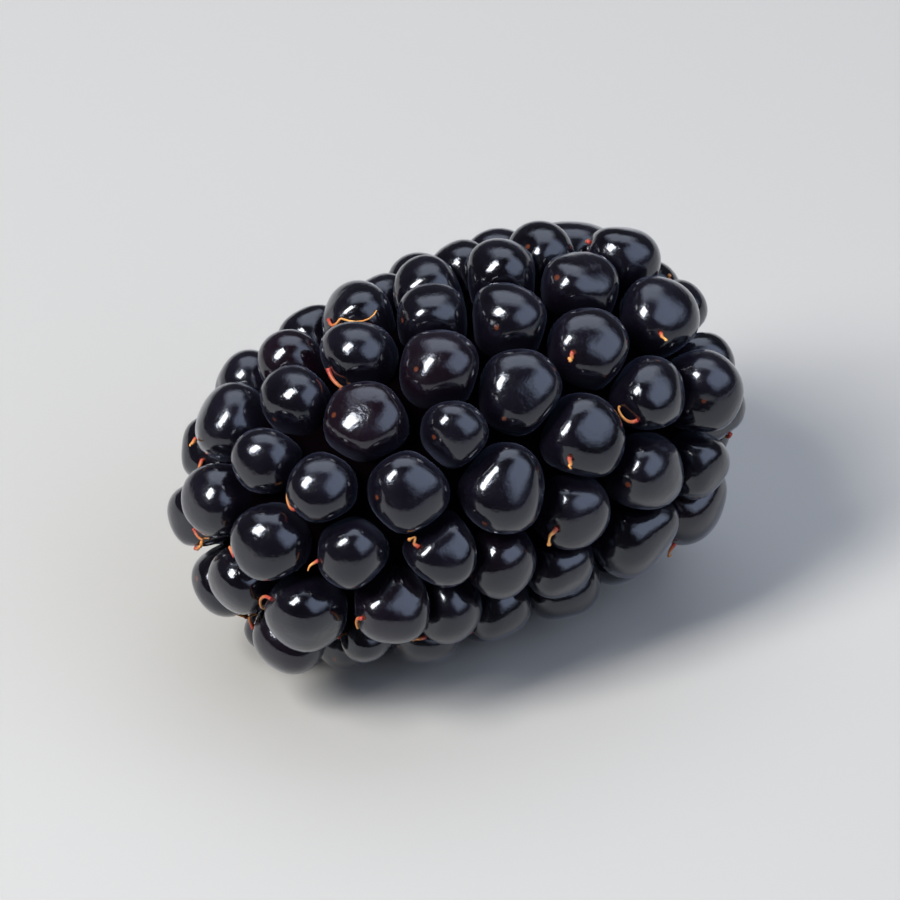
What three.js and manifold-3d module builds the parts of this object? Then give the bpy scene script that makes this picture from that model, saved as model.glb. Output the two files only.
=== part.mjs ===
// One ripe bramble berry, as picked, lying on its side on a level surface.
//
// The fruit is an aggregate: nearly a hundred fleshy drupelets, packed shoulder to shoulder round one core.
// They grew as one body, so they are one solid. The pale end of the core, where the fruit came off its
// stalk, is a solid of its own colour, set in the hollow of the base.
//
// Millimetres, +Z up. The fruit's long axis lies along X, with its tip towards -X and its base towards +X.
// The origin is on the surface that the fruit lies on, under the middle of its box.

import * as THREE from "three";
import { ConvexHull } from "three/addons/math/ConvexHull.js";
import { mergeVertices } from "three/addons/utils/BufferGeometryUtils.js";
import Module from "manifold-3d";

const wasm = await Module();
wasm.setup();

// The whole fruit
const LENGTH = 35.8;
const WIDTH = 23.55;
const BLUNTNESS = 2.7; // 2 is an ellipsoid, and more is a barrel with blunter ends
const TAPER = 0.07; // how much narrower the tip end is than the middle, as a share
const BEND = 0.9; // how far the tip curls down
const HOLLOW_DEPTH = 1.8; // the hollow of the base, round the core's end
const HOLLOW_RADIUS = 4.4;

// The drupelets, and how they press each other apart
const PETALS = 9; // the long ones round the hollow of the base
const PETAL_RING = 5.1; // how far their middles are from the axis
const PETAL_REACH = 2.75; // the room that each presses for, on each side
const PETAL_SCATTER = 0.3; // how unevenly they stand, as a share of the turn from one to the next
const DRUPELETS = 88; // all the others
const FIRST_SHARE = 0.85; // where along the half length their spiral starts, near the base
const SHARE_SPAN = 1.83; // how far along it the spiral runs towards the tip
const REACH = 3.05; // the room that each of them presses for
const REACH_SPREAD = 0.17; // some are larger and some are smaller
const REACH_GROWTH = 0.09; // and they are larger towards the base
const SCATTER = 0.5; // how unevenly they start round the axis, in radians
const ROUNDS = 400; // rounds of pressing each other apart, after which they lie evenly
const PRESS = 0.08; // how far two of them move apart in one round
const PRESS_LAW = 4; // how fast the pressing fades with the distance
const PRESS_LIMIT = 0.6; // the share of their distance at which it ends

// The form of each: a plump ball, pressed flat where it meets its neighbours
const RISE = 2.85; // from its middle to its top
const GIRTH_SHARE = 1.11; // its own radius, as a share of the room that it has on each side
const FULLNESS = 2.3; // 2 is an ellipsoid, and more has a flatter top and steeper flanks
const PRESSED = 7; // how sharp the edges of its pressed sides are
const LEAN = 0.15; // each leans this much towards the tip
const LIFT_SPREAD = 0.35; // some stand out further than others
const GROOVE_DEPTH = 2; // between two drupelets
const PIT_DEPTH = 2.8; // between three
const STEPS = [0.83, 0.57, 0.3]; // rings of corners between the groove and the top

// The core's end, and the socket that it stands in
const CORE_REACH = 2.3;
const CORE_FACE = 14.2; // along the axis from the middle of the fruit
const CORE_FLOOR = 9.6;
const CORE_NECK = 0.65; // its width at its floor, as a share of its width between the petals
const CORE_BRIM = 0.8; // and the width of its face
const CORE_GAP = 0.3;

// How the fruit lies: turned about its own axis, tilted until its underside is level, and flattened a
// little by its own weight where it touches. MIDDLE is where the middle of its axis then is.
const ROLL = (254 * Math.PI) / 180;
const PITCH = (-0.5 * Math.PI) / 180;
const MIDDLE = new THREE.Vector3(0.274, -0.195, 11.36);
const GROUND_DEPTH = 10; // of the block that flattens what would be below the level surface

const SAME_POINT = 1e-4; // corners closer than this are one

const half = LENGTH / 2;
const girth = WIDTH / 2;
const down = new THREE.Vector3(0, -Math.sin(ROLL), -Math.cos(ROLL)); // before the fruit is rolled over

// A number from 0 to 1 that looks random and is the same each time, for a drupelet and a purpose.
function chance(index, purpose) {
  const value = Math.sin(index * 12.9898 + purpose * 78.233) * 43758.5453;
  return value - Math.floor(value);
}

// How far out a point is on the plain barrel: 1 on its surface, less inside.
function barrel(point) {
  const along = Math.abs(point.x / half) ** BLUNTNESS;
  const across = (Math.hypot(point.y, point.z) / girth) ** BLUNTNESS;
  return (along + across) ** (1 / BLUNTNESS);
}

// The barrel's outward direction at a point on it.
function outward(point) {
  const across = Math.hypot(point.y, point.z);
  const steep = across > 0 ? (across / girth) ** (BLUNTNESS - 1) / (girth * across) : 0;
  const end = (Math.abs(point.x) / half) ** (BLUNTNESS - 1) / half;
  return new THREE.Vector3(Math.sign(point.x) * end, point.y * steep, point.z * steep).normalize();
}

// From the plain barrel to the fruit's own form: narrower at the tip, a little bent, hollow at the base.
function formed(point) {
  const share = point.x / half;
  const narrow = 1 + TAPER * share;
  const around = Math.hypot(point.y, point.z) * narrow;
  const hollow = point.x > 0 ? HOLLOW_DEPTH * Math.exp(-((around / HOLLOW_RADIUS) ** 2)) : 0;
  return new THREE.Vector3(point.x - hollow, point.y * narrow, point.z * narrow).addScaledVector(
    down,
    BEND * Math.max(0, -share) ** 2,
  );
}

// A point near the barrel, taken to its surface, sunk by a depth, and given the fruit's form.
function sunk(point, depth) {
  const onto = point.clone().divideScalar(barrel(point));
  return formed(onto.addScaledVector(outward(onto), -depth));
}

// Where the drupelets stand on the barrel. The core's end is first, and the petals stand in a ring
// round it. The others start scattered along a spiral, and press each other apart until they are even.
function packed() {
  const all = [{ place: new THREE.Vector3(half, 0, 0), reach: CORE_REACH, fixed: true }];
  for (let i = 1; i <= PETALS; i += 1) {
    const turn = (2 * Math.PI * (i + PETAL_SCATTER * chance(i, 5))) / PETALS;
    const place = new THREE.Vector3(half, PETAL_RING * Math.cos(turn), PETAL_RING * Math.sin(turn));
    all.push({ place: place.divideScalar(barrel(place)), reach: PETAL_REACH, fixed: true });
  }
  const goldenTurn = Math.PI * (3 - Math.sqrt(5));
  for (let i = 0; i < DRUPELETS; i += 1) {
    const share = FIRST_SHARE - (SHARE_SPAN * (i + 0.5)) / DRUPELETS;
    const ring = girth * (1 - Math.abs(share) ** BLUNTNESS) ** (1 / BLUNTNESS);
    const turn = i * goldenTurn + SCATTER * (chance(i, 3) - 0.5);
    const place = new THREE.Vector3(half * share, ring * Math.cos(turn), ring * Math.sin(turn));
    const spread = 1 + REACH_SPREAD * (2 * chance(i, 1) - 1);
    all.push({ place, reach: REACH * spread * (1 + REACH_GROWTH * share), fixed: false });
  }
  for (let round = 0; round < ROUNDS; round += 1) {
    const moves = all.map((one) => {
      const move = new THREE.Vector3();
      for (const other of all) {
        const apart = one.place.clone().sub(other.place);
        const distance = apart.length();
        const close = (one.reach + other.reach) / distance;
        if (other === one || close < PRESS_LIMIT) continue;
        const pressed = close ** PRESS_LAW - PRESS_LIMIT ** PRESS_LAW;
        move.addScaledVector(apart, (PRESS * pressed) / distance);
      }
      return move;
    });
    all.forEach((one, i) => {
      if (one.fixed) return;
      one.place.add(moves[i]);
      one.place.divideScalar(barrel(one.place));
    });
  }
  return all;
}

// For each drupelet, the numbers of those that it touches, in order round it. Seen from the fruit's middle
// they are points on a ball, and the hull of points on a ball joins each to its nearest.
function neighbours(all) {
  const points = all.map((one) => one.place.clone().normalize());
  const hull = new ConvexHull().setFromPoints(points);
  const following = all.map(() => new Map());
  for (const face of hull.faces) {
    const heads = [face.edge.prev, face.edge, face.edge.next].map((edge) => edge.head().point);
    const corners = heads.map((head) => points.indexOf(head));
    corners.forEach((corner, k) => following[corner].set(corners[(k + 1) % 3], corners[(k + 2) % 3]));
  }
  return following.map((next) => {
    const ring = [next.keys().next().value];
    while (ring.length < next.size) ring.push(next.get(ring.at(-1)));
    return ring;
  });
}

// Which way each drupelet points, and where its middle is.
function grown(all) {
  all.forEach((one, i) => {
    one.out = outward(one.place);
    if (!one.fixed) one.out.add(new THREE.Vector3(-LEAN, 0, 0)).normalize();
    const lift = LIFT_SPREAD * (2 * chance(i, 2) - 1);
    one.middle = sunk(one.place, -lift).addScaledVector(one.out, -RISE);
  });
}

// The pressed sides of each: which way each side faces, and how far it is from the middle.
function pressedSides(all, rings) {
  all.forEach((one, i) => {
    one.sides = rings[i].map((next) => {
      const towards = all[next].middle.clone().sub(one.middle);
      const room = (towards.length() * one.reach) / (one.reach + all[next].reach);
      return { towards: towards.normalize(), room };
    });
    const rooms = one.sides.map((side) => side.room);
    one.girth = (GIRTH_SHARE * rooms.reduce((sum, room) => sum + room)) / rooms.length;
  });
}

// How far a drupelet's skin is from its middle in a direction: the ball and its pressed sides, as a
// power mean, which rounds the edges between them.
function skinAlong(one, direction) {
  const up = direction.dot(one.out);
  const across = Math.sqrt(Math.max(0, 1 - up * up));
  const ball = ((across / one.girth) ** FULLNESS + Math.abs(up / RISE) ** FULLNESS) ** (1 / FULLNESS);
  const sides = one.sides.map((side) => Math.max(0, direction.dot(side.towards) / side.room) ** PRESSED);
  return sides.reduce((sum, side) => sum + side, ball ** PRESSED) ** (-1 / PRESSED);
}

// The edge of a drupelet's cell: the middle of each groove and of each pit in turn. A groove's middle is
// where two drupelets meet, and a pit's is where three do.
function cellEdge(all, index, ring) {
  const one = all[index];
  return ring.flatMap((next, k) => {
    const beside = all[next];
    const third = all[ring[(k + 1) % ring.length]];
    const groove = one.place.clone().multiplyScalar(beside.reach).addScaledVector(beside.place, one.reach);
    const pit = one.place
      .clone()
      .multiplyScalar(beside.reach + third.reach)
      .addScaledVector(beside.place, one.reach + third.reach)
      .addScaledVector(third.place, one.reach + beside.reach);
    return [sunk(groove, GROOVE_DEPTH), sunk(pit, PIT_DEPTH)];
  });
}

// Adds the triangles between two rings of points, or between a ring and one point.
function join(triangles, outer, inner) {
  outer.forEach((point, k) => {
    const after = (k + 1) % outer.length;
    triangles.push(point, outer[after], inner[k % inner.length]);
    if (inner.length > 1) triangles.push(outer[after], inner[after], inner[k]);
  });
}

// One drupelet's dome, from the edge of its cell up to its top, along the skin of its ball.
function dome(triangles, one, edge) {
  const onSkin = (direction) => {
    return one.middle.clone().addScaledVector(direction, skinAlong(one, direction));
  };
  let outer = edge;
  for (const step of STEPS) {
    const inner = edge.map((point) => {
      const towards = point.clone().sub(one.middle).normalize();
      const angle = one.out.angleTo(towards);
      return onSkin(
        one.out
          .clone()
          .multiplyScalar(Math.sin((1 - step) * angle))
          .addScaledVector(towards, Math.sin(step * angle))
          .divideScalar(Math.sin(angle)),
      );
    });
    join(triangles, outer, inner);
    outer = inner;
  }
  join(triangles, outer, [onSkin(one.out)]);
}

// A ring of points moved along the axis, and brought in towards it by a share and a distance.
function drawnIn(ring, x, share, distance) {
  return ring.map((point) => {
    const around = Math.hypot(point.y, point.z);
    const size = (around * share - distance) / around;
    return new THREE.Vector3(x ?? point.x, point.y * size, point.z * size);
  });
}

// A solid from triangles that share corners.
function solid(triangles) {
  const shape = mergeVertices(new THREE.BufferGeometry().setFromPoints(triangles), SAME_POINT);
  return new wasm.Manifold(
    new wasm.Mesh({
      numProp: 3,
      vertProperties: shape.getAttribute("position").array,
      triVerts: new Uint32Array(shape.index.array),
    }),
  );
}

// A named mesh of a solid in its material.
function shown(name, body, material) {
  const mesh = body.getMesh();
  const shape = new THREE.BufferGeometry()
    .setAttribute("position", new THREE.BufferAttribute(mesh.vertProperties, 3))
    .setIndex(new THREE.BufferAttribute(mesh.triVerts, 1));
  const piece = new THREE.Mesh(shape, material);
  piece.name = name;
  return piece;
}

const all = packed();
const rings = neighbours(all);
grown(all);
pressedSides(all, rings);
const edges = all.map((one, i) => cellEdge(all, i, rings[i]));

// The fruit's skin is one surface: every dome, and the socket in the middle of the base.
const socketFloor = drawnIn(edges[0], CORE_FLOOR, CORE_NECK, 0);
const fruit = [];
join(fruit, edges[0], socketFloor);
join(fruit, socketFloor, [new THREE.Vector3(CORE_FLOOR, 0, 0)]);
all.forEach((one, i) => {
  if (i > 0) dome(fruit, one, edges[i]);
});

// The core's end fills the socket, and its face is a low star between the petals.
const coreFoot = drawnIn(edges[0], CORE_FLOOR + CORE_GAP, CORE_NECK, CORE_GAP);
const coreShoulder = drawnIn(edges[0], null, 1, CORE_GAP);
const coreFace = drawnIn(edges[0], CORE_FACE, CORE_BRIM, CORE_GAP);
const core = [];
join(core, coreFoot.toReversed(), [new THREE.Vector3(CORE_FLOOR + CORE_GAP, 0, 0)]);
join(core, coreFoot, coreShoulder);
join(core, coreShoulder, coreFace);
join(core, coreFace, [new THREE.Vector3(CORE_FACE + CORE_GAP, 0, 0)]);

const lie = new THREE.Matrix4()
  .makeTranslation(MIDDLE)
  .multiply(new THREE.Matrix4().makeRotationY(PITCH))
  .multiply(new THREE.Matrix4().makeRotationX(ROLL));
[fruit, core].forEach((points) => new Set(points).forEach((point) => point.applyMatrix4(lie)));

// What would be below the level surface is flattened against it.
const ground = new THREE.BoxGeometry(2 * LENGTH, 2 * LENGTH, GROUND_DEPTH);
const corners = ground.translate(0, 0, -GROUND_DEPTH / 2).toNonIndexed().getAttribute("position");
const below = Array.from({ length: corners.count }, (_, k) => {
  return new THREE.Vector3().fromBufferAttribute(corners, k);
});
const head = solid(fruit).subtract(solid(below));

const skin = new THREE.MeshStandardMaterial({ color: 0x0d0b12, roughness: 0.22, metalness: 0 });
const pith = new THREE.MeshStandardMaterial({ color: 0xc9b679, roughness: 0.8, metalness: 0 });

const berry = new THREE.Group();
berry.add(shown("drupelets", head, skin), shown("receptacle", solid(core), pith));

export default berry;
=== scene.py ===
# One ripe bramble berry, as picked, lying on its side on a pale floor under soft studio light.
# Places and sizes are worked out in millimetres, in the frame of the solids, and become metres in the meshes.

import math

import bmesh
import bpy
import numpy as np
from mathutils import Matrix, Vector


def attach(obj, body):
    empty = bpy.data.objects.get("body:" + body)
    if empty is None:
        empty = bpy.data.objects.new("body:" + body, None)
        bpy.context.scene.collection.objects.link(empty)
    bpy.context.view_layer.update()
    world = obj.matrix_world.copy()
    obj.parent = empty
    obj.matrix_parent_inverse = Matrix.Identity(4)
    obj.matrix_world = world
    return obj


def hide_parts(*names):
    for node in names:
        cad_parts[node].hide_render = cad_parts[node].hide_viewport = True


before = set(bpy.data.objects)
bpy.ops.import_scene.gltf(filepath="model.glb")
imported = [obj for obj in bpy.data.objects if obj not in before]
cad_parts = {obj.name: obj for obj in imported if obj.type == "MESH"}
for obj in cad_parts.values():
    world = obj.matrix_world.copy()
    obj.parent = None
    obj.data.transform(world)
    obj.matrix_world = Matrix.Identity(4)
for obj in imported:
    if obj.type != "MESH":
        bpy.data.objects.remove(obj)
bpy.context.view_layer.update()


# The camera
# It looks down on the berry from the tip's side, as the photograph does, through a long lens, so that
# near and far drupelets keep the same size.

CAMERA_AZIMUTH = -31
CAMERA_ELEVATION = 40
CAMERA_DISTANCE = 0.45
LENS = 300
NEAREST = 0.01
AIM = Vector((0, 0, 0.0112))


def direction_of(azimuth, elevation):
    """The unit vector towards a place that is turned from -Y towards +X by the azimuth, and raised."""
    a, e = math.radians(azimuth), math.radians(elevation)
    return Vector((math.sin(a) * math.cos(e), -math.cos(a) * math.cos(e), math.sin(e)))


def look_at(thing, azimuth, elevation, distance):
    """Places a camera or light on that line from AIM, looking at AIM, with its own up side up."""
    away = direction_of(azimuth, elevation)
    thing.location = AIM + away * distance
    thing.rotation_euler = away.to_track_quat("Z", "Y").to_euler()
    bpy.context.scene.collection.objects.link(thing)


camera = bpy.data.objects.new("camera", bpy.data.cameras.new("camera"))
camera.data.lens = LENS
camera.data.clip_start = NEAREST
look_at(camera, CAMERA_AZIMUTH, CAMERA_ELEVATION, CAMERA_DISTANCE)
bpy.context.scene.camera = camera


# The drupelets
# Nearly a hundred thin-skinned balls of flesh, each round one seed, have grown on one core. They swell
# until they press each other flat at the sides, and stay plump and glossy where they are free.

# Their places and the form of each follow the same rule as the solids.
LENGTH = 35.8
WIDTH = 23.55
BLUNTNESS = 2.7
TAPER = 0.07
BEND = 0.9
HOLLOW_DEPTH = 1.8
HOLLOW_RADIUS = 4.4
PETALS = 9
PETAL_RING = 5.1
PETAL_REACH = 2.75
PETAL_SCATTER = 0.3
DRUPELETS = 88
FIRST_SHARE = 0.85
SHARE_SPAN = 1.83
REACH = 3.05
REACH_SPREAD = 0.17
REACH_GROWTH = 0.09
CORE_REACH = 2.3
SCATTER = 0.5
ROUNDS = 400
PRESS = 0.08
PRESS_LAW = 4
PRESS_LIMIT = 0.6
RISE = 2.85
GIRTH_SHARE = 1.11
FULLNESS = 2.3
PRESSED = 7
LEAN = 0.15
LIFT_SPREAD = 0.35
GROOVE_DEPTH = 2
PIT_DEPTH = 2.8
ROLL = math.radians(254)
PITCH = math.radians(-0.5)
MIDDLE = (0.274, -0.195, 11.36)

# The finer skins leave a thin gap between them, and are rows and columns of points.
GAP = 0.2
STEPS_DOWN = 20
STEPS_ROUND = 36
LOWEST_ANGLE = math.radians(122)
UNEVEN = 0.09
UNEVEN_SIDES = 0.45
UNEVEN_SIZE = 5
UNEVEN_SEED = 3
WAVES = 6
TINY = 1e-9

half = LENGTH / 2
girth = WIDTH / 2
down = np.array([0, -math.sin(ROLL), -math.cos(ROLL)])
lie = np.array(
    Matrix.Translation(MIDDLE) @ Matrix.Rotation(PITCH, 4, "Y") @ Matrix.Rotation(ROLL, 4, "X")
)


def chance(index, purpose):
    """A number from 0 to 1 that looks random: the fraction left of a large multiple of a sine. The
    purpose is any number that keeps its draws apart from the others."""
    value = np.sin(index * 12.9898 + purpose * 78.233) * 43758.5453
    return value - np.floor(value)


def unit(vectors):
    """Each vector divided by its own length."""
    return vectors / np.linalg.norm(vectors, axis=-1, keepdims=True)


def barrel(points):
    """How far out points are: the power mean of their shares along and across, 1 on the surface."""
    along = np.abs(points[..., 0] / half) ** BLUNTNESS
    across = (np.hypot(points[..., 1], points[..., 2]) / girth) ** BLUNTNESS
    return (along + across) ** (1 / BLUNTNESS)


def outward(points):
    """The barrel's unit normal: the slope of its power mean in each direction."""
    across = np.hypot(points[..., 1], points[..., 2])
    steep = (across / girth) ** (BLUNTNESS - 1) / (girth * np.maximum(across, TINY))
    end = (np.abs(points[..., 0]) / half) ** (BLUNTNESS - 1) / half
    x = np.sign(points[..., 0]) * end
    return unit(np.stack([x, points[..., 1] * steep, points[..., 2] * steep], -1))


def bell(distance, size):
    """1 at distance 0, and fading as a bell curve of the size."""
    return np.exp(-((distance / size) ** 2))


def formed(points):
    """From the barrel to the fruit: narrower by TAPER at the tip, bent down by a square law towards it,
    and hollow at the base by a bell curve of the distance from the axis."""
    share = points[..., 0] / half
    narrow = 1 + TAPER * share
    y, z = points[..., 1] * narrow, points[..., 2] * narrow
    hollow = HOLLOW_DEPTH * bell(np.hypot(y, z), HOLLOW_RADIUS)
    x = points[..., 0] - np.where(share > 0, hollow, 0)
    bend = BEND * np.maximum(0, -share) ** 2
    return np.stack([x, y, z], -1) + bend[..., None] * down


def sunk(points, depth):
    """Points taken to the barrel's surface, sunk along its normal, and given the fruit's form."""
    onto = points / barrel(points)[..., None]
    return formed(onto - np.asarray(depth)[..., None] * outward(onto))


def packed():
    """Places on the barrel and the reach of each: the core's end, a ring of petals round it, and the
    others along a spiral of golden turns. Each pair pushes apart by the fourth power of how close it
    is, and every place is then brought back to the surface, for a number of rounds."""
    ring = np.arange(1, PETALS + 1)
    turn = 2 * np.pi * (ring + PETAL_SCATTER * chance(ring, 5)) / PETALS
    petals = np.stack([np.full(PETALS, half), PETAL_RING * np.cos(turn), PETAL_RING * np.sin(turn)], 1)
    petals /= barrel(petals)[:, None]
    order = np.arange(DRUPELETS)
    share = FIRST_SHARE - SHARE_SPAN * (order + 0.5) / DRUPELETS
    radius = girth * (1 - np.abs(share) ** BLUNTNESS) ** (1 / BLUNTNESS)
    turn = order * np.pi * (3 - math.sqrt(5)) + SCATTER * (chance(order, 3) - 0.5)
    spiral = np.stack([half * share, radius * np.cos(turn), radius * np.sin(turn)], 1)
    place = np.vstack([[half, 0, 0], petals, spiral])
    spread = 1 + REACH_SPREAD * (2 * chance(order, 1) - 1)
    reach = np.r_[CORE_REACH, np.full(PETALS, PETAL_REACH), REACH * spread * (1 + REACH_GROWTH * share)]
    itself = np.eye(len(place))
    for _ in range(ROUNDS):
        apart = place[:, None] - place[None]
        distance = np.linalg.norm(apart, axis=-1) + itself
        close = (reach[:, None] + reach[None]) / distance
        pressed = np.where(close < PRESS_LIMIT, 0, close**PRESS_LAW - PRESS_LIMIT**PRESS_LAW)
        push = PRESS * pressed * (1 - itself) / distance
        moved = (place + (apart * push[..., None]).sum(1))[PETALS + 1 :]
        place[PETALS + 1 :] = moved / barrel(moved)[:, None]
    return place, reach


def touching_pairs(place):
    """True for each pair that an edge of the convex hull joins, when all the places are brought onto one
    ball round the fruit's middle."""
    hull = bmesh.new()
    for point in unit(place):
        hull.verts.new(point)
    hull.verts.index_update()
    bmesh.ops.convex_hull(hull, input=hull.verts)
    pairs = np.array([[end.index for end in edge.verts] for edge in hull.edges])
    hull.free()
    touching = np.zeros((len(place), len(place)), bool)
    touching[pairs[:, 0], pairs[:, 1]] = True
    return touching | touching.T


place, reach = packed()
touching = touching_pairs(place)
count = len(place)
number = np.arange(count)
out = outward(place)
out[PETALS + 1 :] = unit(out[PETALS + 1 :] - [LEAN, 0, 0])
middle = sunk(place, -LIFT_SPREAD * (2 * chance(number, 2) - 1)) - RISE * out

# The pressed sides of each drupelet: the vectors towards what it touches, divided by the room there
between = middle[None] - middle[:, None]
distance = np.linalg.norm(between, axis=-1) + np.eye(count)
room = distance * reach[:, None] / (reach[:, None] + reach[None])
ball_girth = GIRTH_SHARE * np.where(touching, room, 0).sum(1) / touching.sum(1)
most = touching.sum(1).max()
beside = np.argsort(~touching, axis=1, kind="stable")[:, :most]
real = np.take_along_axis(touching, beside, 1)
open_room = np.take_along_axis(room, beside, 1) - GAP / 2
towards = between[number[:, None], beside] / np.take_along_axis(distance, beside, 1)[..., None]
sides = np.where(real[..., None], towards / open_room[..., None], 0)


def skin_along(which, directions):
    """How far the skins of drupelets are from their middles in some directions: the power mean of a
    superellipsoid and of the flats where the neighbours press."""
    up = (directions * out[which]).sum(-1)
    across = np.sqrt(np.maximum(0, 1 - up * up))
    ball = ((across / ball_girth[which]) ** FULLNESS + np.abs(up / RISE) ** FULLNESS) ** (1 / FULLNESS)
    facing = np.maximum(0, (directions[..., None, :] * sides[which]).sum(-1))
    return (ball**PRESSED + (facing**PRESSED).sum(-1)) ** (-1 / PRESSED)


def waves(points, seed, size):
    """A smooth unevenness from about -1 to 1: twice the mean of some sines of the points along seeded
    lines, each as long as the size."""
    draw = np.random.default_rng(seed)
    lines = unit(draw.normal(size=(WAVES, 3))) * 2 * np.pi / size
    phases = draw.uniform(0, 2 * np.pi, WAVES)
    return 2 * np.sin(points @ lines.T + phases).mean(-1)


def uneven_skin(which, directions):
    """The distance of skin_along, made uneven by slow waves that are weaker on the pressed sides. Each
    drupelet takes another stretch of the waves, so that no two are alike."""
    distance = skin_along(which, directions)
    places = middle[which] + directions * distance[..., None] + UNEVEN_SIZE * which[..., None]
    free = np.clip((directions * out[which]).sum(-1), 0, 1)
    uneven = UNEVEN * (UNEVEN_SIDES + (1 - UNEVEN_SIDES) * free)
    return distance * (1 + uneven * waves(places, UNEVEN_SEED, UNEVEN_SIZE))


def laid(points):
    """Points of the upright fruit turned and lifted as it lies, and pressed flat at the floor."""
    turned = points @ lie[:3, :3].T + lie[:3, 3]
    turned[..., 2] = np.maximum(turned[..., 2], 0)
    return turned


def grid_faces(rows, columns, start=0):
    """Four-cornered faces between rows of points that close round, the last column to the first."""
    row, column = np.meshgrid(np.arange(rows - 1), np.arange(columns), indexing="ij")
    after = (column + 1) % columns
    corners = [row * columns + column, row * columns + after]
    corners += [(row + 1) * columns + after, (row + 1) * columns + column]
    return start + np.stack(corners, -1).reshape(-1, 4)


def fan_faces(ring, point):
    """Three-cornered faces from each pair of points next to each other on a ring to one point."""
    return np.stack([ring, np.roll(ring, -1), np.full(len(ring), point)], -1)


MM = 0.001


def surface(name, points, quads, triangles, marks):
    """A smooth mesh object in metres from points in millimetres, with its faces, and with marks that
    give each point a number or a vector."""
    mesh = bpy.data.meshes.new(name)
    mesh.vertices.add(len(points))
    mesh.vertices.foreach_set("co", (points * MM).astype(np.float32).ravel())
    corners = np.concatenate([quads.ravel(), triangles.ravel()]).astype(np.int32)
    sizes = np.r_[np.full(len(quads), 4), np.full(len(triangles), 3)]
    mesh.loops.add(len(corners))
    mesh.loops.foreach_set("vertex_index", corners)
    mesh.polygons.add(len(sizes))
    mesh.polygons.foreach_set("loop_start", np.r_[0, np.cumsum(sizes)[:-1]].astype(np.int32))
    mesh.update(calc_edges=True)
    mesh.validate()
    mesh.shade_smooth()
    for mark, values in marks.items():
        kind, field = ("FLOAT_VECTOR", "vector") if values.ndim > 1 else ("FLOAT", "value")
        mesh.attributes.new(mark, kind, "POINT").data.foreach_set(field, values.astype(np.float32).ravel())
    piece = bpy.data.objects.new(name, mesh)
    bpy.context.scene.collection.objects.link(piece)
    return piece


# Angles are in radians from a drupelet's top, and depths in millimetres.
SCAR_ANGLE = (0.6, 1.0)
SCAR_SPREAD = 1.6
SCAR_HOLLOW = 0.16
SCAR_DEPTH = 0.12
DENT_ANGLE = (0.3, 0.9)
DENT_SHARE = 0.25
DENT_DEPTH = 0.24
DENT_SIZE = 0.5

# The way to the tip, not quite along the axis, so that no drupelet points exactly that way
TO_TIP = (-1, 0.02, 0.01)


def drawn(ends, index, purpose):
    """A seeded draw between two ends."""
    return ends[0] + (ends[1] - ends[0]) * chance(index, purpose)


def scar_angle(index):
    """The angle of the scars from the tops of their drupelets."""
    return drawn(SCAR_ANGLE, index, 7)


def scar_turn(index):
    """The turn of the scars round their drupelets, to either side of the way to the tip."""
    return SCAR_SPREAD * (chance(index, 8) - 0.5)


def beside_top(which, angle, turn):
    """Directions at an angle from the tops of drupelets, turned round them from the tip's side."""
    to_tip = unit(np.cross(out[which], np.cross(TO_TIP, out[which])))
    sideways = np.cross(out[which], to_tip)
    flat = np.cos(turn)[..., None] * to_tip + np.sin(turn)[..., None] * sideways
    return np.cos(angle)[..., None] * out[which] + np.sin(angle)[..., None] * flat


def angle_between(first, second):
    """The angle between unit vectors, from their dot product."""
    return np.arccos(np.clip((first * second).sum(-1), -1, 1))


def drupelet_points():
    """The skin of each: for rows of angles from the top and columns round it, the middle plus the
    direction times the distance to the skin. The scar and the dents are bell-shaped hollows. The last
    point, which closes it, is half as deep. A mark gives the way from the scar's direction to each
    point's own, in radii."""
    shape = (count - 1, STEPS_DOWN, STEPS_ROUND)
    angle = np.linspace(0, LOWEST_ANGLE, STEPS_DOWN + 1)[1:, None]
    turn = np.linspace(0, 2 * np.pi, STEPS_ROUND, endpoint=False)
    index = np.broadcast_to(number[1:, None, None], shape)
    rows = beside_top(index, np.broadcast_to(angle, shape), np.broadcast_to(turn, shape))
    directions = np.concatenate([out[1:, None], rows.reshape(count - 1, -1, 3), -out[1:, None]], 1)
    index = np.broadcast_to(number[1:, None], directions.shape[:2])
    scar = beside_top(index, scar_angle(index), scar_turn(index))
    scarred = bell(angle_between(directions, scar), SCAR_HOLLOW)
    dent = beside_top(index, drawn(DENT_ANGLE, index, 9), 2 * np.pi * chance(index, 10))
    dented = bell(angle_between(directions, dent), DENT_SIZE) * (chance(index, 11) < DENT_SHARE)
    distance = uneven_skin(index, directions) - SCAR_DEPTH * scarred - DENT_DEPTH * dented
    distance[:, -1] /= 2
    points = middle[index] + directions * distance[..., None]
    from_scar = directions - scar
    return points, {"from_scar": from_scar.reshape(-1, 3), "ripeness": chance(index, 13).ravel()}


def drupelet_surface():
    """Every skin in one mesh: rows of four-cornered faces, and fans at the top and the bottom of each."""
    points, marks = drupelet_points()
    each = points.shape[1]
    starts = np.arange(count - 1)[:, None, None] * each
    first = np.arange(STEPS_ROUND) + 1
    last = first + (STEPS_DOWN - 1) * STEPS_ROUND
    fans = np.concatenate([fan_faces(first, 0), fan_faces(last[::-1], each - 1)])
    quads = (starts + grid_faces(STEPS_DOWN, STEPS_ROUND, 1)[:, ::-1]).reshape(-1, 4)
    return laid(points.reshape(-1, 3)), quads, (starts + fans).reshape(-1, 3), marks


drupelets = surface("drupelet_skins", *drupelet_surface())
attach(drupelets, "root")
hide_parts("drupelets")


def new_material(name):
    """A material with nodes, which starts as a plain Principled BSDF."""
    material = bpy.data.materials.new(name)
    material.use_nodes = True
    return material


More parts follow.
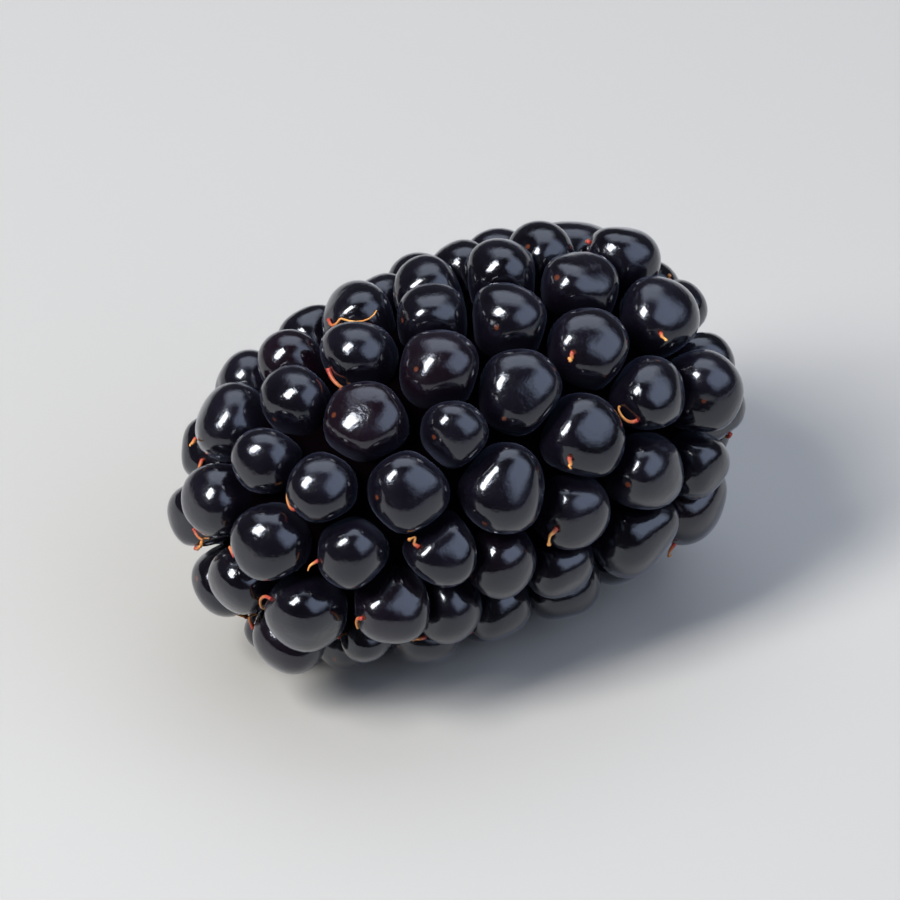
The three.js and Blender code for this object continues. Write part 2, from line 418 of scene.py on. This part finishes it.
def add(tree, kind, inputs=None, **settings):
    """Adds a node of a kind, sets its settings, and sets or links its inputs by name or number."""
    node = tree.nodes.new(kind)
    for setting, value in settings.items():
        setattr(node, setting, value)
    for socket, value in (inputs or {}).items():
        if isinstance(value, bpy.types.NodeSocket):
            tree.links.new(value, node.inputs[socket])
        else:
            node.inputs[socket].default_value = value
    return node


def mixed(tree, share, first, second):
    """A colour between two colours, by a share from 0 to 1."""
    node = add(tree, "ShaderNodeMix", {0: share, 6: first, 7: second}, data_type="RGBA")
    return node.outputs[2]


def ranged(tree, value, low, high, first, last, law="LINEAR"):
    """A value between first and last, as another goes from low to high, and no further."""
    ends = {"Value": value, "From Min": low, "From Max": high, "To Min": first, "To Max": last}
    return add(tree, "ShaderNodeMapRange", ends, interpolation_type=law).outputs["Result"]


CLOUD_ENDS = (0.3, 0.7)
CLOUD_DETAIL = 3
GRAIN_DETAIL = 2
GRAIN_SHARE = 7


def mottle_group():
    """Two colours mixed by cloudy noise, and the same clouds and a finer grain as numbers."""
    group = bpy.data.node_groups.new("mottle", "ShaderNodeTree")
    for name, kind in (("Light", "Color"), ("Dark", "Color"), ("Scale", "Float")):
        group.interface.new_socket(name, in_out="INPUT", socket_type=f"NodeSocket{kind}")
    for name, kind in (("Color", "Color"), ("Cloud", "Float"), ("Grain", "Float")):
        group.interface.new_socket(name, in_out="OUTPUT", socket_type=f"NodeSocket{kind}")
    given = add(group, "NodeGroupInput").outputs
    place_on = add(group, "ShaderNodeTexCoord").outputs["Object"]
    noise = {"Vector": place_on, "Scale": given["Scale"], "Detail": CLOUD_DETAIL}
    cloud = add(group, "ShaderNodeTexNoise", noise).outputs["Fac"]
    cloud = ranged(group, cloud, *CLOUD_ENDS, 0, 1)
    finer = add(group, "ShaderNodeMath", {0: given["Scale"], 1: GRAIN_SHARE}, operation="MULTIPLY")
    noise = {"Vector": place_on, "Scale": finer.outputs[0], "Detail": GRAIN_DETAIL}
    grain = add(group, "ShaderNodeTexNoise", noise).outputs["Fac"]
    colour = mixed(group, cloud, given["Dark"], given["Light"])
    add(group, "NodeGroupOutput", {"Color": colour, "Cloud": cloud, "Grain": grain})
    return group


mottle = mottle_group()


def mottled(tree, light, dark, scale):
    """The outputs of the mottle group, for two colours and the number of clouds in a metre."""
    node = add(tree, "ShaderNodeGroup", node_tree=mottle)
    for socket, value in (("Light", light), ("Dark", dark), ("Scale", scale)):
        node.inputs[socket].default_value = value
    return node.outputs


def attribute(tree, name, output="Fac"):
    """A mark of the mesh, at the point that is shaded."""
    return add(tree, "ShaderNodeAttribute", attribute_name=name).outputs[output]


BUMP_DEPTH = 0.0001


def bumped(tree, height, strength):
    """The normal, tilted as if the surface rose by BUMP_DEPTH where the height is 1."""
    bump = {"Height": height, "Strength": strength, "Distance": BUMP_DEPTH}
    return add(tree, "ShaderNodeBump", bump).outputs["Normal"]


SKIN_VIOLET = (0.0042, 0.0032, 0.0068, 1)
SKIN_BLACK = (0.0014, 0.0008, 0.002, 1)
SKIN_RED = (0.011, 0.0015, 0.004, 1)
RED_SHARE = 0.35
RED_ONES = (0.8, 1.0)
SCAR_BROWN = (0.09, 0.024, 0.01, 1)
SCAR_SIZE = (0.035, 0.075)
SKIN_CLOUDS = 420
SKIN_ROUGHNESS = (0.12, 0.24)
PEEL = 0.3
WAX_GLOSS = (0.76, 0.84, 1, 1)
WAX_SHEEN = (0.5, 0.58, 0.9, 1)


def skin_material():
    """Near black with a hint of violet, a little redder on some drupelets, with a small brown scar on
    each. The clouds vary how glossy it is, the grain is the fine peel of the skin below its smooth
    clear coat, and the bluish gloss and faint sheen are its wax."""
    material = new_material("drupelet_skin")
    tree = material.node_tree
    clouds = mottled(tree, SKIN_VIOLET, SKIN_BLACK, SKIN_CLOUDS)
    redder = ranged(tree, attribute(tree, "ripeness"), *RED_ONES, 0, RED_SHARE)
    colour = mixed(tree, redder, clouds["Color"], SKIN_RED)
    way = attribute(tree, "from_scar", "Vector")
    from_scar = add(tree, "ShaderNodeVectorMath", {0: way}, operation="LENGTH").outputs["Value"]
    colour = mixed(tree, ranged(tree, from_scar, *SCAR_SIZE, 1, 0), colour, SCAR_BROWN)
    shader = tree.nodes["Principled BSDF"].inputs
    tree.links.new(colour, shader["Base Color"])
    tree.links.new(ranged(tree, clouds["Cloud"], 0, 1, *SKIN_ROUGHNESS), shader["Roughness"])
    tree.links.new(bumped(tree, clouds["Grain"], PEEL), shader["Normal"])
    shader["IOR"].default_value = 1.48
    shader["Specular Tint"].default_value = WAX_GLOSS
    shader["Coat Weight"].default_value = 0.6
    shader["Coat Roughness"].default_value = 0.06
    shader["Sheen Weight"].default_value = 0.1
    shader["Sheen Roughness"].default_value = 0.35
    shader["Sheen Tint"].default_value = WAX_SHEEN
    return material


drupelets.data.materials.append(skin_material())


# The flesh between the drupelets
# Deep in the pits the drupelets run together. The flesh there is the fruit's own barrel form, sunk
# well below the grooves. Its dark colour is the flesh's own, made near black with painted shade.

FLESH_DEPTH = 2.9
FLESH_ROWS = 24
FLESH_COLUMNS = 36
FLESH_END = 0.12
# The flesh's own near black, made darker still by painted shade for the deep pits
FLESH_DARK_AND_PAINTED_SHADE = (0.0012, 0.0006, 0.001, 1)


def flesh():
    """The barrel, sunk: rings at cosine steps along the axis, and a fan of faces at each end."""
    along = -np.cos(np.linspace(FLESH_END, np.pi - FLESH_END, FLESH_ROWS))[:, None]
    turn = np.linspace(0, 2 * np.pi, FLESH_COLUMNS, endpoint=False)[None]
    ring = girth * (1 - np.abs(along) ** BLUNTNESS) ** (1 / BLUNTNESS)
    across, up = ring * np.cos(turn), ring * np.sin(turn)
    points = np.stack([np.broadcast_to(half * along, up.shape), across, up], -1)
    points = sunk(points, np.full(points.shape[:2], FLESH_DEPTH))
    ends = np.array([points[0].mean(0), points[-1].mean(0)])
    last = FLESH_ROWS * FLESH_COLUMNS
    first_ring = np.arange(FLESH_COLUMNS)
    near = fan_faces(first_ring[::-1], last)
    far = fan_faces(last - FLESH_COLUMNS + first_ring, last + 1)
    points = laid(np.concatenate([points.reshape(-1, 3), ends]))
    return points, grid_faces(FLESH_ROWS, FLESH_COLUMNS), np.concatenate([near, far]), {}


def flesh_and_painted_shade_material():
    """Matt, and the flesh's own dark colour made almost black with painted shade, because hardly any light
    comes into the pits.
    """
    material = new_material("flesh")
    shader = material.node_tree.nodes["Principled BSDF"].inputs
    shader["Base Color"].default_value = FLESH_DARK_AND_PAINTED_SHADE
    shader["Roughness"].default_value = 0.9
    shader["Specular IOR Level"].default_value = 0
    return material


flesh_between = surface("flesh_between", *flesh())
flesh_between.data.materials.append(flesh_and_painted_shade_material())
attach(flesh_between, "root")
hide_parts("drupelets")


# The core's end
# The pale core runs through the fruit, and its torn end shows in the hollow of the base, where the
# stalk was. It is dry pith, with lobes between the petals and a brown spot where the sap ran.

CORE_FACE = 14.2
CORE_FLOOR = 9.9
CORE_NECK = 0.65
CORE_SIDE = 3
CORE_ROWS = 26
CORE_COLUMNS = 120
RIM_DROP = 0.9
CORE_DOME = 0.15
RIM_SHARE = 0.97
MIDDLE_SHARE = 0.04
SMOOTHINGS = 3

# The seed, the height and the size of the waves that roughen the face, and of those on its outline
SLOW_WAVES = (21, 0.12, 0.9)
QUICK_WAVES = (22, 0.07, 0.35)
EDGE_WAVES = (23, 0.02, 0.6)

# The brown spot and the brown patch, at places across the face in millimetres from its middle
SPOT_PLACE = (0.45, -0.3)
SPOT_SIZE = 0.6
SPOT_DEPTH = 0.4
PATCH_PLACE = (-1.3, 1.1)
PATCH_SIZE = 0.7

PITH_PALE = (0.66, 0.54, 0.27, 1)
PITH_TAN = (0.42, 0.28, 0.10, 1)
PITH_RIM = (0.78, 0.70, 0.46, 1)
PITH_BROWN = (0.15, 0.055, 0.02, 1)
RIM_BAND = (0.6, 1)
RIM_PALENESS = 0.6
PITH_CLOUDS = 900
PITH_GRAIN = 0.5


def core_outline(turn):
    """The distance from the axis to the petals' feet, for turns round it: straight lines in the turn
    between the middles of the grooves and of the pits, which alternate, then smoothed."""
    petals = np.nonzero(touching[0])[0]
    around = np.arctan2(place[petals, 2], place[petals, 1])
    petals = petals[np.argsort(around)]
    third = np.roll(petals, -1)
    grooves = place[[0]] * reach[petals, None] + place[petals] * reach[0]
    pits = place[[0]] * (reach[petals] + reach[third])[:, None]
    pits = pits + place[petals] * (reach[0] + reach[third])[:, None]
    pits = pits + place[third] * (reach[0] + reach[petals])[:, None]
    depths = np.repeat([GROOVE_DEPTH, PIT_DEPTH], len(petals))
    edge = sunk(np.concatenate([grooves, pits]), depths)
    edge_turn = np.arctan2(edge[:, 2], edge[:, 1]) % (2 * np.pi)
    order = np.argsort(edge_turn)
    radius = np.interp(turn, edge_turn[order], np.hypot(edge[order, 1], edge[order, 2]), period=2 * np.pi)
    for _ in range(SMOOTHINGS):
        radius = (np.roll(radius, 1) + radius + np.roll(radius, -1)) / 3
    return radius


def roughness(points, seed, height, size):
    """Seeded waves of a height and a size."""
    return height * waves(points, seed, size)


def core_end():
    """Rings from the foot up the side, over the rounded rim and in to the middle. The face drops at the
    rim by the fourth power of the distance, and is a low dome with a bell-shaped pit at the brown spot.
    Slow and quick waves roughen it."""
    turn = np.linspace(0, 2 * np.pi, CORE_COLUMNS, endpoint=False)
    inner = np.linspace(1, MIDDLE_SHARE, CORE_ROWS - CORE_SIDE)
    share = np.r_[np.linspace(CORE_NECK, RIM_SHARE, CORE_SIDE), inner][:, None]
    radius = share * core_outline(turn)
    across, up = radius * np.cos(turn), radius * np.sin(turn)
    spot = bell(np.hypot(across - SPOT_PLACE[0], up - SPOT_PLACE[1]), SPOT_SIZE)
    patch = bell(np.hypot(across - PATCH_PLACE[0], up - PATCH_PLACE[1]), PATCH_SIZE)
    face = CORE_FACE - RIM_DROP * inner**4 + CORE_DOME * (1 - inner**2)
    x = np.r_[np.linspace(CORE_FLOOR, face[0], CORE_SIDE + 1)[:-1], face][:, None] - SPOT_DEPTH * spot
    points = np.stack([x, across, up], -1)
    points[1:, :, 0] += (roughness(points, *SLOW_WAVES) + roughness(points, *QUICK_WAVES))[1:]
    points[..., 1:] *= (1 + roughness(points, *EDGE_WAVES))[..., None]
    ends = np.array([[CORE_FLOOR, 0, 0], points[-1].mean(0)])
    last = CORE_ROWS * CORE_COLUMNS
    column = np.arange(CORE_COLUMNS)
    fans = np.concatenate([fan_faces(column[::-1], last), fan_faces(last - CORE_COLUMNS + column, last + 1)])
    marks = {
        "brown": np.r_[np.maximum(spot, patch).ravel(), 0, 0],
        "rim": np.r_[np.repeat(share, CORE_COLUMNS), 1, 0],
    }
    points = laid(np.concatenate([points.reshape(-1, 3), ends]))
    return points, grid_faces(CORE_ROWS, CORE_COLUMNS), fans, marks


core = surface("core_end", *core_end())
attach(core, "root")
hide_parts("receptacle")


def pith_material():
    """Pale tan with darker clouds, paler still at the rim, brown at the spot and the patch, and grainy
    like dry pith."""
    material = new_material("core_pith")
    tree = material.node_tree
    clouds = mottled(tree, PITH_PALE, PITH_TAN, PITH_CLOUDS)
    rim = ranged(tree, attribute(tree, "rim"), *RIM_BAND, 0, RIM_PALENESS)
    colour = mixed(tree, rim, clouds["Color"], PITH_RIM)
    colour = mixed(tree, attribute(tree, "brown"), colour, PITH_BROWN)
    shader = tree.nodes["Principled BSDF"].inputs
    tree.links.new(colour, shader["Base Color"])
    tree.links.new(bumped(tree, clouds["Grain"], PITH_GRAIN), shader["Normal"])
    shader["Roughness"].default_value = 0.75
    return material


core.data.materials.append(pith_material())


# The dried styles
# Each drupelet once carried a thread-like style. Nearly half of them are left: dry, orange threads with
# red feet, which start where the scars are and lie curled in the grooves.

STYLES = 46
STYLE_POINTS = 18
STYLE_SIDES = 7
STYLE_RADIUS = 0.125
STYLE_SPREAD = (0.85, 1.35)
STYLE_TAPER = 0.65
STYLE_CLEAR = 0.1
SHORT_SHARE = 0.5
SHORT_SIZE = (0.2, 0.45)
LONG_SIZE = (0.6, 1.1)
SINKS_BY = (0.15, 0.55)
SWINGS_BY = (0.3, 1.6)
SWING_LAW = 1.2
WANDERS_BY = 0.3
WANDER_TURNS = (0.5, 1.5)
STANDS_OFF = (0.2, 1.0)
ARCHES_BY = 0.4
CURLED_SHARE = 0.12
CURL_START = 0.3
CURL_RADIUS = 0.38
CURL_TURNS = 1.2
KNOB_SHARE = 0.45
KNOB_SIZE = 0.6
KNOB_PLACE = 0.96
KNOB_LENGTH = 0.05
PUSHES = 6
STYLE_SMOOTHINGS = 2

STYLE_ORANGE = (0.85, 0.42, 0.11, 1)
STYLE_RUST = (0.50, 0.17, 0.03, 1)
STYLE_BROWN = (0.24, 0.085, 0.025, 1)
STYLE_RED = (0.36, 0.04, 0.025, 1)
RED_FOOT = (0.1, 0.6)
OLD_ONES = (0.4, 1)
OLD_SHARE = 0.75
STYLE_CLOUDS = 1500


def style_paths():
    """From the scar of a drupelet the direction sinks towards the groove and swings round it, a little
    outside the skin. The short ones stand off the skin. The curled ones add a circle to that. What
    would be inside another skin is moved out onto it."""
    owner = (np.argsort(chance(number[1:], 31))[:STYLES] + 1)[:, None]
    s = np.linspace(0, 1, STYLE_POINTS)[None]
    short = chance(owner, 37) < SHORT_SHARE
    size = np.where(short, drawn(SHORT_SIZE, owner, 38), drawn(LONG_SIZE, owner, 38))
    angle = scar_angle(owner) + drawn(SINKS_BY, owner, 32) * size * np.sin(s * np.pi / 2)
    swing = np.sign(chance(owner, 33) - 0.5) * drawn(SWINGS_BY, owner, 34) * size
    wandering = np.sin(2 * np.pi * (s * drawn(WANDER_TURNS, owner, 39) + chance(owner, 40)))
    turn = scar_turn(owner) + swing * s**SWING_LAW + WANDERS_BY * size * s * wandering
    which = np.broadcast_to(owner, turn.shape)
    directions = beside_top(which, angle, turn)
    arch = ARCHES_BY * chance(owner, 35) * np.sin(s * np.pi) ** 2 + STYLE_CLEAR * s
    lift = np.where(short, drawn(STANDS_OFF, owner, 35) * s, arch)
    points = middle[which] + directions * (uneven_skin(which, directions) + lift)[..., None]
    curl = np.where(~short & (chance(owner, 41) < CURLED_SHARE), CURL_RADIUS, 0)[..., None]
    round_it = 2 * np.pi * CURL_TURNS * np.clip((s - CURL_START) / (1 - CURL_START), 0, 1)[..., None]
    sideways = unit(np.cross(out[which], directions))
    points = points + curl * ((1 - np.cos(round_it)) * out[which] + np.sin(round_it) * sideways)
    for _ in range(PUSHES):
        away = points[..., None, :] - middle[1:]
        far = np.linalg.norm(away, axis=-1)
        every = np.broadcast_to(number[1:], far.shape)
        inside = uneven_skin(every, away / far[..., None]) + STYLE_CLEAR * s[..., None] - far
        deepest = inside.argmax(-1)[..., None]
        amount = np.maximum(np.take_along_axis(inside, deepest, -1), 0)
        push = np.take_along_axis(away / far[..., None], deepest[..., None], -2)[..., 0, :]
        points = points + amount * push
    for _ in range(STYLE_SMOOTHINGS):
        points[:, 1:-1] = (points[:, :-2] + 2 * points[:, 1:-1] + points[:, 2:]) / 4
    return points, out[which]


def style_tubes():
    """A round section carried along each path: its radius shrinks evenly towards the tip, and some end
    in a small bell-shaped knob. The section's sides come from the path's way and the drupelet's own."""
    path, upward = style_paths()
    s = np.linspace(0, 1, STYLE_POINTS)[None, :, None]
    ahead = unit(np.gradient(path, axis=1))
    side = unit(np.cross(ahead, upward))
    above = np.cross(side, ahead)
    turn = np.linspace(0, 2 * np.pi, STYLE_SIDES, endpoint=False)[:, None]
    each_style = np.arange(STYLES)[:, None, None]
    knob = KNOB_SIZE * (chance(each_style, 36) < KNOB_SHARE) * bell(s - KNOB_PLACE, KNOB_LENGTH)
    thick = STYLE_RADIUS * drawn(STYLE_SPREAD, each_style, 42)
    radius = (thick * (1 - STYLE_TAPER * s + knob))[..., None]
    points = path[:, :, None] + radius * (np.cos(turn) * side[:, :, None] + np.sin(turn) * above[:, :, None])
    points = np.concatenate([points.reshape(STYLES, -1, 3), path[:, :1], path[:, -1:]], 1)
    each = points.shape[1]
    first = np.arange(STYLE_SIDES)
    last = first + (STYLE_POINTS - 1) * STYLE_SIDES
    fans = np.concatenate([fan_faces(first, each - 2), fan_faces(last[::-1], each - 1)])
    quads = (each * each_style + grid_faces(STYLE_POINTS, STYLE_SIDES)[:, ::-1]).reshape(-1, 4)
    along = np.r_[np.repeat(np.linspace(0, 1, STYLE_POINTS), STYLE_SIDES), 0, 1]
    marks = {"along": np.tile(along, STYLES), "age": np.repeat(chance(np.arange(STYLES), 43), each)}
    return laid(points.reshape(-1, 3)), quads, (each * each_style + fans).reshape(-1, 3), marks


styles = surface("dried_styles", *style_tubes())
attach(styles, "root")


def thread_material():
    """Orange tan with darker clouds, red at the foot, and browner on the older ones."""
    material = new_material("dried_style")
    tree = material.node_tree
    clouds = mottled(tree, STYLE_ORANGE, STYLE_RUST, STYLE_CLOUDS)
    older = ranged(tree, attribute(tree, "age"), *OLD_ONES, 0, OLD_SHARE)
    colour = mixed(tree, older, clouds["Color"], STYLE_BROWN)
    red = ranged(tree, attribute(tree, "along"), *RED_FOOT, 1, 0)
    shader = tree.nodes["Principled BSDF"].inputs
    tree.links.new(mixed(tree, red, colour, STYLE_RED), shader["Base Color"])
    shader["Roughness"].default_value = 0.5
    return material


styles.data.materials.append(thread_material())


# The floor and the light
# A plain pale floor, a small bright softbox at the camera's left, and large panels at its right and
# above that fade towards their edges. They give every drupelet its white glint and its soft grey sheen.

FLOOR = 1.5
FLOOR_PALE = (0.4, 0.39, 0.37, 1)
floor_mesh = bpy.data.meshes.new("floor")
floor_corners = [(-FLOOR, -FLOOR, 0), (FLOOR, -FLOOR, 0), (FLOOR, FLOOR, 0), (-FLOOR, FLOOR, 0)]
floor_mesh.from_pydata(floor_corners, [], [(0, 1, 2, 3)])
floor = bpy.data.objects.new("floor", floor_mesh)
bpy.context.scene.collection.objects.link(floor)
pale = new_material("pale_floor")
pale_shader = pale.node_tree.nodes["Principled BSDF"].inputs
pale_shader["Base Color"].default_value = FLOOR_PALE
pale_shader["Roughness"].default_value = 0.6
floor_mesh.materials.append(pale)


def panel(name, azimuth, elevation, distance, width, height, brightness, colour, fade):
    """A rectangular light that faces the berry. Its power is pi times its area times its brightness,
    and the brightness falls smoothly to nothing over the outer share of its width and its height."""
    light = bpy.data.lights.new(name, "AREA")
    light.shape = "RECTANGLE"
    light.size = width
    light.size_y = height
    light.energy = math.pi * width * height * brightness
    light.color = colour
    light.use_nodes = True
    tree = light.node_tree
    across = add(tree, "ShaderNodeNewGeometry").outputs["Parametric"]
    centred = {0: across, 1: (0.5, 0.5, 0.5)}
    from_middle = add(tree, "ShaderNodeVectorMath", centred, operation="SUBTRACT").outputs[0]
    either_side = add(tree, "ShaderNodeVectorMath", {0: from_middle}, operation="ABSOLUTE").outputs[0]
    parts = add(tree, "ShaderNodeSeparateXYZ", {0: either_side}).outputs
    shares = [ranged(tree, parts[way], 0.5, 0.5 - fade / 2, 0, 1, "SMOOTHSTEP") for way in "XY"]
    glow = add(tree, "ShaderNodeMath", {0: shares[0], 1: shares[1]}, operation="MULTIPLY").outputs[0]
    tree.links.new(glow, tree.nodes["Emission"].inputs["Strength"])
    look_at(bpy.data.objects.new(name, light), azimuth, elevation, distance)


panel(
    "key", azimuth=-90, elevation=49, distance=0.5,
    width=0.18, height=0.31, brightness=32, colour=(1, 0.99, 0.97), fade=0.3,
)
panel(
    "side", azimuth=36, elevation=42, distance=0.7,
    width=1.4, height=0.95, brightness=2.1, colour=(0.68, 0.78, 1), fade=0.6,
)
panel(
    "top", azimuth=150, elevation=64, distance=0.7,
    width=1.1, height=0.8, brightness=2.1, colour=(0.8, 0.87, 1), fade=0.6,
)

# A little light from all round
ROUND_PALE = (0.9, 0.93, 1, 1)
ROUND_BRIGHTNESS = 0.05
world = bpy.data.worlds.new("world")
bpy.context.scene.world = world
world.use_nodes = True
backdrop = world.node_tree.nodes["Background"].inputs
backdrop["Color"].default_value = ROUND_PALE
backdrop["Strength"].default_value = ROUND_BRIGHTNESS
bpy.context.scene.view_settings.view_transform = "Standard"
